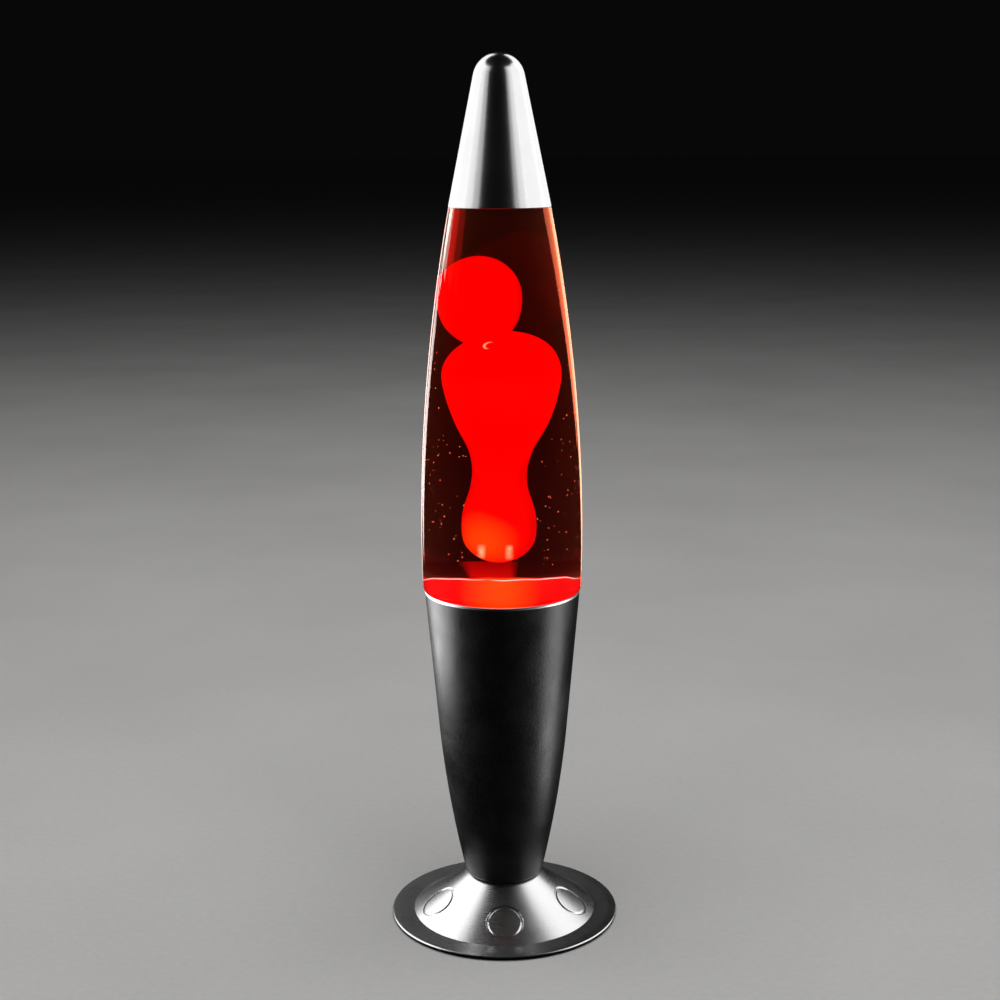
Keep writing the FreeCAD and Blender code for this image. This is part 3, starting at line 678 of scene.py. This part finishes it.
def stem():
    """The hollow stem, threaded outside and smooth in its bore."""
    low, top = node_heights("threaded_stem")
    bore, crest = 3.6, 4.5
    outside = steps_between((4.75, low + 0.4), (4.75, top - 0.4), 230)
    profile = [(bore, low), (crest, low), *outside, (crest, top), (bore, top)]
    thread = helix(low + 0.6, top - 0.6, 1.0, 0.25, 0.8)

    def bend(r, z, angle):
        return thread(r, z, angle) if r > crest + 0.1 else (r, z)

    return turned("stem_tube", profile, 48, bend)


def screw_cap():
    low, top = node_heights("bulb_screw_cap")
    outside = steps_between((6.6, low + 0.9), (6.6, 61.6), 56)
    inside = steps_between((6.3, 61.6), (6.3, low + 1.2), 56)
    profile = [
        (4.2, low), (6.0, low), (6.4, low + 0.3), *outside, (6.9, 62.0), (8.1, 65.5), (8.45, top),
        (8.15, top), (7.8, 65.7), (6.6, 62.2), *inside, (6.1, low + 0.5), (4.2, low + 0.3),
    ]
    return turned("bulb_cap_shell", profile, 96, helix(48.0, 61.4, BULB_PITCH, 0.3, 1.6))


def holder_shell():
    low, top = node_heights("screw_shell")
    inside = steps_between((7.4, low), (7.4, top), 64)
    outside = steps_between((7.7, top), (7.7, low), 64)
    thread = helix(low + 1.0, top - 0.8, BULB_PITCH, 0.18, 1.5)
    return turned("holder_thread", inside + outside, 96, thread)


def holder_sleeve():
    """The holder's sleeve, ribbed so that it can be gripped."""
    low, top = node_heights("lampholder_sleeve")
    profile = soften([
        (12.4, low), (14.0, low), (14.0, 39.0), (13.6, 40.0), (13.6, 52.0), (14.0, 53.0),
        (14.0, 56.6), (13.2, top), (7.9, top), (7.9, top - 2.0), (12.4, top - 2.0),
    ], 0.4)
    ribs, rib_height = 24, 0.5

    def bend(r, z, angle):
        rib = smoothstep(-0.2, 0.5, math.cos(ribs * angle)) if 39.4 < z < 52.6 and r > 13 else 0
        return r + rib_height * rib, z

    return turned("holder_grip", profile, 12 * ribs, bend)


def bulb_envelope():
    """The bulb's glass: its outside from the cap up to the crown, and then its inside."""
    low, top = node_heights("bulb_glass")
    wide = node_radius("bulb_glass")
    wall, crown_low = 0.8, 103
    outer = [(6.8, low), (7.4, 67.0)] + arc((7.8, 68.2), (wide, 99.0), -60.0, 40)
    outer += [(wide, 100.5), (wide - 0.05, 102.5)] + dome((18.0, 104.0), (0, top), 1, 24)
    outer = relaxed(outer, 4)
    inner = [(r - wall if r > 2 else r, z - wall if z > crown_low else z) for r, z in reversed(outer)]
    return turned("bulb_envelope", outer + inner, 128)


def end_contact():
    low, top = node_heights("bulb_end_contact")
    section = [(0, low), (1.2, low + 0.05), (2.0, low + 0.3), (2.4, low + 0.7), (2.4, top), (0, top)]
    return turned("bulb_solder_tip", section, 48)


def filament():
    """The coiled filament, bowed round between its two leads."""
    curve = bpy.data.curves.new("filament_coil", "CURVE")
    curve.dimensions = "3D"
    line = curve.splines.new("POLY")
    turns, each, span = 46, 10, math.radians(240)
    up = sum(node_heights("bulb_filament")) / 2
    ring, coil, wire = 6.0, 0.36, 0.08
    points = []
    for k in range(turns * each + 1):
        a = -math.radians(30) + span * k / (turns * each)
        w = math.tau * k / each
        r = ring + coil * math.cos(w)
        points.append((r * math.cos(a) * MM, r * math.sin(a) * MM, (up + coil * math.sin(w)) * MM, 1))
    line.points.add(len(points) - 1)
    for point, place in zip(line.points, points):
        point.co = place
    curve.bevel_depth = wire * MM
    curve.bevel_resolution = 1
    curve.use_fill_caps = True
    shape = bpy.data.objects.new("filament_shape", curve)
    bpy.context.scene.collection.objects.link(shape)
    mesh = bpy.data.meshes.new_from_object(shape.evaluated_get(bpy.context.evaluated_depsgraph_get()))
    bpy.data.objects.remove(shape)
    obj = bpy.data.objects.new("bulb_filament_coil", mesh)
    bpy.context.scene.collection.objects.link(obj)
    return obj


# Bottle and what it holds


BOTTLE_LOW, BOTTLE_TOP = node_heights("bottle_glass")
BOTTLE_WIDE = node_radius("bottle_glass")
GLASS = 2.2
FILM = 0.06


def belly(z, inset=0.0):
    """The bottle's radius at a height, on the long arc of its side less an inset."""
    reach, rise = 848.0 - inset, z - 187.5
    return BOTTLE_WIDE - inset - (reach - math.sqrt(reach * reach - rise * rise))


def side(low, high, inset, count=60):
    """Profile points up the bottle's side."""
    heights = [low + (high - low) * k / count for k in range(count + 1)]
    return [(belly(z, inset), z) for z in heights]


def bottle():
    """The glass: its outside up to the mouth, then its inside down to the floor."""
    base = [(0, BOTTLE_LOW + 0.6), (14, BOTTLE_LOW + 0.5), (20, BOTTLE_LOW)]
    heel = arc((24.5, BOTTLE_LOW), (27.3, 127.4), 3.0, 8)
    ledge = [(30.0, 142.0), (34.9, CONE_RIM), (36.3, CONE_RIM), (37.2, 165.1), (37.7, 166.6)]
    ledge = soften(ledge, 0.5, False)
    seat = [(21.4, 343.5), (21.4, 345.0)]
    outside = base + heel + ledge + side(167.2, 343.2, 0.0)
    outside += soften([(belly(343.3), 343.3), (belly(343.5) - 0.2, 343.5), *seat], 0.2, False)
    outside += arc(seat[1], (12.6, 357.0), 13.0, 16)[1:] + [(12.6, 361.0), (12.6, 366.0)]
    lip = [(12.6, 366.0), (13.2, 366.6), (13.2, BOTTLE_TOP), (10.2, BOTTLE_TOP), (10.2, 366.0)]
    lip = soften(lip, 0.7, False)[1:-1]
    dry = [(10.2, 366.0), (10.2, 361.0)] + arc((10.2, 355.6), (19.0, 344.5), -12.0, 16)
    wet = [(belly(342.0, GLASS) - 0.4, 343.0)] + list(reversed(side(166.6, 341.4, GLASS)))
    well = [(belly(166.6, GLASS), 166.6), (32.5, 162.5), (24.6, 129.9), (22.5, 128.3), (15, 128.6)]
    wet += soften(well, 1.2, False)[1:] + [(0, 128.8)]
    first_wet = len(outside) + len(lip) + len(dry) - 1
    profile = outside + lip + dry + wet
    return turned("bottle_shell", profile, 256, paint=lambda band: 1 if band >= first_wet else 0)


# The pool's height at the sides, and how much further it climbs the glass at the front and back.
POOL_SIDE = node_heights("wax_pool")[1] - 0.7
POOL_FRONT, POOL_BACK = 8.3, 3.6
MENISCUS_DEEP, EDGE_DROP = 0.45, 0.5
POOL_STEPS = 160
LIQUID_TOP = node_heights("liquid")[1] - 0.1


def pool_top(x, y):
    """The height of the pool's surface, which climbs the glass at the front and less at the back."""
    climb = smoothstep(-4.0, 38.0, -y) * POOL_FRONT + smoothstep(12.0, 37.0, y) * POOL_BACK
    wave = noise.noise(Vector((x * 0.09, y * 0.09, 2.0))) * 0.7
    return POOL_SIDE + climb + wave


def on_wall(angle, z, inset):
    """The point at an angle and a height on the bottle's side less an inset."""
    r = belly(z, inset)
    return r * math.cos(angle), r * math.sin(angle), z


def pool_rings(inset, lift):
    """Rings at the pool's edge on the wall, under it and then in over the pool's surface."""
    angles = even_angles(POOL_STEPS)
    wall = belly(POOL_SIDE, inset)
    edge = []
    for a in angles:
        z = pool_top(wall * math.cos(a), wall * math.sin(a)) + lift
        edge.append((a, z - EDGE_DROP))
    rings = [
        [on_wall(a, z - MENISCUS_DEEP, inset) for a, z in edge],
        [on_wall(a, z, inset) for a, z in edge],
    ]
    for share in (0.99, 0.975, 0.95, 0.91, 0.86, 0.78, 0.68, 0.56, 0.42, 0.28, 0.14):
        ring = []
        for a in angles:
            x, y = wall * share * math.cos(a), wall * share * math.sin(a)
            ring.append((x, y, pool_top(x, y) - EDGE_DROP * smoothstep(0.955, 1.0, share) + lift))
        rings.append(ring)
    rings.append([(0, 0, pool_top(0, 0) + lift)])
    return rings


def pool():
    inset = GLASS + FILM
    low = [
        (0, 128.9), (18.0, 128.6), (22.4, 128.45), (24.4, 130.0), (32.35, 162.5),
        (belly(166.6, inset), 166.6),
    ]
    under = around(soften(low, 0.8, False), POOL_STEPS)
    edge = len(under)
    rings = under + pool_rings(inset, 0.0)
    return skin("wax_pool_body", rings, False, paint=lambda band: 1 if band == edge else 0)


def liquid():
    """The liquid, from just over the pool's surface up to its own flat top in the neck."""
    inset = GLASS + FILM
    straight = 190.0
    rings = list(reversed(pool_rings(inset, 0.1)))[:-1]
    angles = even_angles(POOL_STEPS)
    contact = [point[2] for point in rings[-1]]
    for share in (0.15, 0.4, 0.7, 1.0):
        rings.append([on_wall(a, z + (straight - z) * share, inset) for a, z in zip(angles, contact)])
    top = side(194.0, 341.4, inset, 40)
    top += [(belly(342.0, inset) - 0.4, 343.0), (18.9, LIQUID_TOP), (0, LIQUID_TOP)]
    rings += around(top, POOL_STEPS)
    last = len(rings) - 2
    return skin("liquid_body", rings, False, paint=lambda band: 1 if band == last else 0)


def organic(obj, amount, scale, seed):
    """Pushes a wax shape slightly in and out, as soft wax is never a true solid of revolution."""
    normals = [vertex.normal.copy() for vertex in obj.data.vertices]
    for vertex, normal in zip(obj.data.vertices, normals):
        where = vertex.co / MM * scale + Vector((seed, seed, seed))
        vertex.co += normal * noise.noise(where) * amount * MM
    return obj


HEAD_CENTRE, HEAD_R = Vector((0.2, -1.5, 265.9)), 21.3


def column():
    """The rising wax: a bulge, a waist and a round head that leans a little to one side."""
    low = node_heights("wax_column")[0]
    outline = dome((0, low), (13.3, 193.3), 1, 24)
    outline += arc((13.3, 193.3), (11.4, 210.5), 43.8, 18)[1:]
    outline += arc((11.4, 210.5), (12.7, 235.8), -36.0, 26)[1:]
    outline += arc((12.7, 235.8), (21.3, 264.5), 80.0, 30)[1:]
    outline += dome((21.3, 264.5), (0, 287.2), 1, 34)[1:]
    outline = relaxed(outline, 8)
    made = turned("wax_column_body", outline, 128)
    for vertex in made.data.vertices:
        z = vertex.co.z / MM
        lean = 1.9 * smoothstep(262.0, 287.0, z) ** 2 - 1.3 * (1 - smoothstep(200.0, 250.0, z))
        vertex.co.x += (HEAD_CENTRE.x + lean) * MM
        vertex.co.y += HEAD_CENTRE.y * MM
    return organic(made, 0.35, 0.05, 3.0)


def bubble():
    """The wax that has broken away: it tapers down behind the head, which dents it."""
    x, y, z, wide, high, low = -6.3, 8.0, 301.2, 13.3, 18.9, 23.0
    outline = []
    for k in range(97):
        a = -math.pi / 2 + math.pi * k / 96
        outline.append((wide * math.cos(a), z + (high if a > 0 else low) * math.sin(a)))
    made = turned("wax_bubble_body", outline, 160)
    for vertex in made.data.vertices:
        below = smoothstep(0.1, 1.0, (z - vertex.co.z / MM) / low)
        vertex.co.x += x * MM
        vertex.co.y += (y + 6.0 * below) * MM
    organic(made, 0.3, 0.06, 8.0)
    for vertex in made.data.vertices:
        out = vertex.co / MM - HEAD_CENTRE
        if out.length < HEAD_R + 0.5:
            vertex.co = (HEAD_CENTRE + out.normalized() * (HEAD_R + 0.5)) * MM
    return made


def specks():
    """Tiny drops of wax and bubbles that hang in the liquid near the glass."""
    draw = random.Random(11)
    made = []
    for i in range(240):
        low = draw.random() < 0.7
        z = draw.uniform(182, 240) if low else draw.uniform(240, 335)
        a = draw.uniform(-math.pi, 0)
        far = belly(z, GLASS) - draw.uniform(1.2, 7.0)
        if abs(far * math.cos(a)) < (15 if low else 23):
            continue
        size = draw.uniform(0.10, 0.28)
        centre = (far * math.cos(a), far * math.sin(a))
        outline = []
        for k in range(9):
            t = -math.pi / 2 + math.pi * k / 8
            outline.append((size * math.cos(t), z + size * draw.uniform(0.9, 1.2) * math.sin(t)))
        made.append(turned(f"speck_{i}", outline, 12, centre=centre))
    return joined("wax_specks", made)


# Closure and pointed cap


def crown():
    """The crimped crown: a flat top and a fluted skirt."""
    flutes, flute_depth = 21, 0.42

    def bend(r, z, angle):
        fluted = 1 - smoothstep(367.6, 371.6, z)
        return r + flute_depth * fluted * math.cos(flutes * angle), z

    low, top = node_heights("crown_cap")
    outside = [
        (0, top), (8.0, top), (11.6, top), (12.6, 372.35), (13.2, 371.7), (13.5, 370.4),
        (13.7, 369.0), (13.85, 367.6), (13.88, low),
    ]
    inside = [
        (13.52, low), (13.5, 367.6), (13.4, 369.0), (13.3, 370.4), (12.95, 371.5), (12.4, 372.1),
        (0, top - 0.4),
    ]
    return turned("crown_closure", outside + inside, 12 * flutes, bend)


def cap():
    """The pointed cap: a thin cone whose sides run over into a round tip."""
    low, top = node_heights("pointed_cap")
    wide, wall = node_radius("pointed_cap"), 1.0
    mouth, shoulder, tip = (wide, low + 0.7), (11.57, 402.0), (0, top)
    mouth_inside, shoulder_inside = (wide - wall, low + 0.7), (shoulder[0] - wall, 401.8)
    outer = relaxed(steps_between(mouth, shoulder, 30) + dome(shoulder, tip, 1, 40)[1:], 3)
    outer[-1] = tip
    inner = [(0, top - wall)] + dome((0.3, top - wall), shoulder_inside, -1, 24)[1:]
    inner += steps_between(shoulder_inside, mouth_inside, 12)[1:]
    edge = soften([mouth_inside, (wide - wall, low), (wide + 0.1, low), mouth], 0.4, False)[1:-1]
    return turned("cap_cone", inner + edge + outer, 256)


# Assembly


piece(foot(), "base", [FOOT_METAL], "satin_aluminium", "foot")
piece(cone(), "base", [BLACK, BARE_EDGE], "black_coat", "base_cone")
piece(grommet(), "base", [RUBBER], "pad_rubber", "cable_grommet")
piece(pads(), "base", [RUBBER], "pad_rubber", "rubber_feet")
piece(stem(), "base", [ZINC], "zinc_steel", "threaded_stem")
piece(holder_shell(), "base", [BRASS], "contact_brass", "screw_shell")
piece(holder_sleeve(), "base", [PHENOLIC], "holder_plastic", "lampholder_sleeve")
piece(end_contact(), "bulb_contact", [SOLDER], "solder", "bulb_end_contact")
piece(screw_cap(), "bulb", [NICKEL], "cap_nickel", "bulb_screw_cap")
piece(bulb_envelope(), "bulb", [ENVELOPE], "bulb_envelope", "bulb_glass")
piece(filament(), "bulb", [TUNGSTEN], "tungsten", "bulb_filament")
piece(bottle(), "bottle", [DRY_GLASS, WET_GLASS], "clear_glass", "bottle_glass")
piece(pool(), "bottle", [POOL_WAX, MENISCUS], "red_wax", "wax_pool")
piece(liquid(), "bottle", [LIQUID, FREE_SURFACE], "red_liquid", "liquid")
piece(specks(), "bottle", [SPECK_WAX], "red_wax")
piece(column(), "wax_column", [COLUMN_WAX], "red_wax", "wax_column")
piece(bubble(), "wax_bubble", [BUBBLE_WAX], "red_wax", "wax_bubble")
piece(crown(), "bottle", [TIN], "crown_tin", "crown_cap")
piece(cap(), "pointed_cap", [ALUMINIUM], "satin_aluminium", "pointed_cap")

CARRIED = {
    "bottom_plate": (PLATE, "plate_steel"),
    "stem_washers": (ZINC, "zinc_steel"),
    "lower_nut": (ZINC, "zinc_steel"),
    "upper_nut": (ZINC, "zinc_steel"),
    "lampholder_cup": (PHENOLIC, "holder_plastic"),
    "terminal_block": (PHENOLIC, "holder_plastic"),
    "centre_contact": (BRASS, "contact_brass"),
    "terminal_screws": (BRASS, "contact_brass"),
    "bulb_insulator": (VITRITE, "black_insulator"),
    "bulb_stem": (STEM_GLASS, "stem_glass"),
    "filament_leads": (COIL, "coil_wire"),
    "wire_coil": (COIL, "coil_wire"),
    "crown_liner": (LINER, "liner"),
}
for name, (look, slot) in CARRIED.items():
    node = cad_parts[name]
    node.data.materials.clear()
    node.data.materials.append(look)


# Floor, light and camera


def floor():
    """A pale floor that runs far behind the lamp."""
    look = surface("pale_floor", ((0.80, 0.79, 0.78), (0.86, 0.85, 0.84)), (0.5, 0.62), 300.0, 0.05, 4.0)
    made = turned("studio_floor", [(0, 0), (300, 0), (1200, 0), (40000, 0), (40000, -20), (0, -20)], 96)
    made.location.z = -0.0002
    made.visible_glossy = False
    made.data.materials.append(look)


def softbox(name, azimuths, distance, heights, brightness, tint=(1, 1, 1), lean=0, **linked):
    """An area light that faces the lamp and spans two azimuths in degrees, 0 being the front."""
    half = math.radians(abs(azimuths[1] - azimuths[0]) / 2)
    turn = math.radians(sum(azimuths) / 2)
    at = Vector((math.sin(turn) * distance, -math.cos(turn) * distance, sum(heights) / 2))
    size = (2 * distance * math.tan(half), heights[1] - heights[0])
    panel(name, at, at.z, size, brightness, tint, lean, **linked)


def panel(name, at, aim, size, brightness, tint=(1, 1, 1), lean=0, only=(), never=()):
    """An area light at a place, which faces the height aim on the axis. It stands upright, or leans
    by an angle in degrees. only and never name the pieces that it lights alone or leaves out. What
    is named in only is also all that shades it, except that the lamp shades the floor. The camera
    doesn't see the light."""
    light = bpy.data.lights.new(name, "AREA")
    light.shape = "RECTANGLE"
    light.size, light.size_y = size
    light.energy = brightness * math.pi * size[0] * size[1]
    light.color = tint
    obj = bpy.data.objects.new(name, light)
    bpy.context.scene.collection.objects.link(obj)
    obj.location = at
    obj.rotation_mode = "QUATERNION"
    facing = (Vector((0, 0, aim)) - Vector(at)).to_track_quat("-Z", "Y")
    obj.rotation_quaternion = facing @ Quaternion((0, 0, 1), math.radians(lean))
    obj.visible_camera = False
    obj.visible_transmission = False
    if only or never:
        lit = bpy.data.collections.new(f"{name}_linked")
        for thing in only or never:
            lit.objects.link(bpy.data.objects[thing])
        if never:
            for member in lit.collection_objects:
                member.light_linking.link_state = "EXCLUDE"
        obj.light_linking.receiver_collection = lit
        if only and only != FLOOR:
            obj.light_linking.blocker_collection = lit


GLASSY = ("bottle_shell", "liquid_body")
CAP = ("cap_cone",)
FOOT = ("foot_disc",)
BLACK_CONE = ("cone_shell",)
FLOOR = ("studio_floor",)

# How far the lights stand from the axis, in metres.
SOFTBOX_AWAY, STRIP_AWAY, CONE_LIGHT_AWAY, CARD_AWAY = 0.85, 0.75, 0.18, 2.5

# The cap's softboxes, as azimuths and brightness. They grow dimmer towards the camera, which softens
# the edges of the cap's dark middle.
CAP_BANDS = (
    ((-48, -67), 0.52), ((-66, -88), 0.98), ((-87, -130), 1.16), ((-128, -172), 1.16),
    ((34, 47), 0.42), ((46, 65), 0.88), ((64, 118), 1.10), ((116, 168), 1.12),
)

# The strips that draw the lines down the glass: azimuths, heights, brightness, tint and lean.
RED_GLOW = (1.0, 0.01, 0.005)
STRIPS = {
    "strip_left": ((-150, -160), (-0.06, 0.85), 3.5, (1.0, 0.70, 0.62), -25),
    "strip_left_top": ((-119, -152), (0.40, 0.85), 8.0, (1.0, 0.66, 0.60), -44.5),
    "strip_left_high": ((-119, -140), (0.355, 0.85), 3.5, (1.0, 0.60, 0.52), 0),
    "strip_left_low": ((-141, -152), (0.0, 0.34), 3.5, (1.0, 0.80, 0.76), -33.5),
    "glow_left": ((-98, -121), (0.375, 0.85), 5.5, RED_GLOW, 0),
    "glow_left_soft": ((-80, -98), (0.39, 0.85), 2.0, RED_GLOW, 0),
    "strip_right": ((139, 159), (-0.06, 0.85), 3.3, (1.0, 0.50, 0.30), 31),
    "strip_right_top": ((117, 139), (0.08, 0.85), 5.2, (1.0, 0.18, 0.08), 52),
}
WORLD_GREY = (0.0025, 0.0025, 0.0027, 1)


def metal_lights():
    """The large softboxes that the foot, the bulb and the small metal parts reflect, and the cap's."""
    keep_off = GLASSY + BLACK_CONE + FLOOR + CAP
    heights = (0.04, 1.30)
    softbox("softbox_left", (-58, -160), SOFTBOX_AWAY, heights, 1.58, lean=-71, never=keep_off)
    softbox("softbox_right", (52, 148), SOFTBOX_AWAY, heights, 1.28, lean=80, never=keep_off)
    for i, (azimuths, brightness) in enumerate(CAP_BANDS):
        softbox(f"cap_band_{i}", azimuths, SOFTBOX_AWAY, (0.04, 1.40), brightness, only=CAP)


def floor_lights():
    panel("floor_light", (0, -0.2, 2.0), -9.0, (2.2, 2.2), 1.9, only=FLOOR)
    softbox("card_behind", (-130, -185), CARD_AWAY, (0.1, 1.6), 0.06, lean=-22.5, only=FOOT)


def cone_lights():
    """One light each side of the black cone, and one over its bare rim."""
    softbox("cone_left", (-79, -127), CONE_LIGHT_AWAY, (0.055, 0.32), 6.6, only=BLACK_CONE)
    softbox("cone_right", (69, 98), CONE_LIGHT_AWAY, (-0.03, 0.22), 3.8, only=BLACK_CONE)
    panel("cone_rim", (0, 0.1, 1.2), 0.16, (0.5, 0.5), 2.0, only=BLACK_CONE)


def glass_lights():
    for name, (azimuths, heights, brightness, tint, lean) in STRIPS.items():
        softbox(name, azimuths, STRIP_AWAY, heights, brightness, tint, lean, only=GLASSY)


def studio():
    metal_lights()
    floor_lights()
    cone_lights()
    glass_lights()
    world = bpy.data.worlds.new("studio")
    world.use_nodes = True
    world.node_tree.nodes["Background"].inputs["Color"].default_value = WORLD_GREY
    bpy.context.scene.world = world


CAMERA_AT = (-0.0008, -0.777, 0.3725)
CAMERA_LENS = 60.7
CAMERA_PITCH, CAMERA_ROLL = math.radians(12.0), math.radians(0.40)


def camera():
    data = bpy.data.cameras.new("camera")
    data.lens = CAMERA_LENS
    data.sensor_width = 36.0
    data.clip_start = 0.02
    data.clip_end = 50.0
    obj = bpy.data.objects.new("camera", data)
    bpy.context.scene.collection.objects.link(obj)
    turn = Matrix.Rotation(math.pi / 2 - CAMERA_PITCH, 4, "X") @ Matrix.Rotation(-CAMERA_ROLL, 4, "Z")
    obj.matrix_world = Matrix.Translation(CAMERA_AT) @ turn
    bpy.context.scene.camera = obj


floor()
studio()
camera()

scene = bpy.context.scene
scene.view_settings.view_transform = "Standard"
scene.cycles.max_bounces = 24
scene.cycles.transmission_bounces = 16
scene.cycles.transparent_max_bounces = 16
scene.cycles.caustics_refractive = False
scene.cycles.caustics_reflective = False
